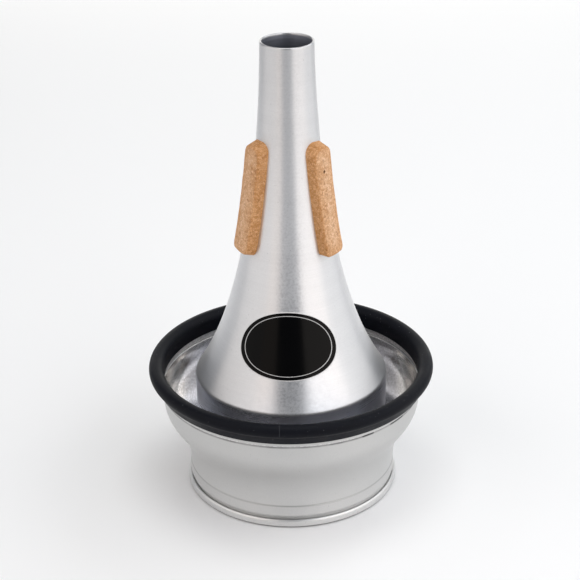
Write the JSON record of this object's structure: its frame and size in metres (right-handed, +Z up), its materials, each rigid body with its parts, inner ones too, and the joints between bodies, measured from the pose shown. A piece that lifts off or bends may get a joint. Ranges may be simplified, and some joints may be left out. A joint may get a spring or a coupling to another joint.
{
  "type": "trumpet cup mute",
  "caption": "Cup mute for a trumpet: hollow flared metal cone with cork strips and an oval label, sliding in a metal cup edged with rubber.",
  "frame": {"origin": "on the axis, in the plane that the bead of the cup stands on", "axes": "+Z up along the axis, from the cup to the open tip; the label faces -Y"},
  "size_m": [0.1172, 0.1172, 0.19],
  "materials": {
    "aluminium": "fine turning lines, satin",
    "satin_aluminium": "matte satin outside, spun and brighter inside",
    "cork": "agglomerated cork, sanded",
    "black_rubber": "smooth, soft sheen",
    "label_black": "gloss black vinyl with a thin pale outline"
  },
  "bodies": {
    "cup": {"cup_shell": "satin_aluminium", "rim_rubber": "black_rubber", "neck_lining": "cork"},
    "straight_mute": {"cone_shell": "aluminium", "end_plate": "aluminium", "cork_front_right": "cork", "cork_front_left": "cork", "cork_back": "cork", "label": "label_black"}
  },
  "joints": [
    {"name": "cone_slide", "type": "slide", "parent": "cup", "child": "straight_mute", "axis": [0, 0, 1], "range_m": [0, 0.06]}
  ]
}
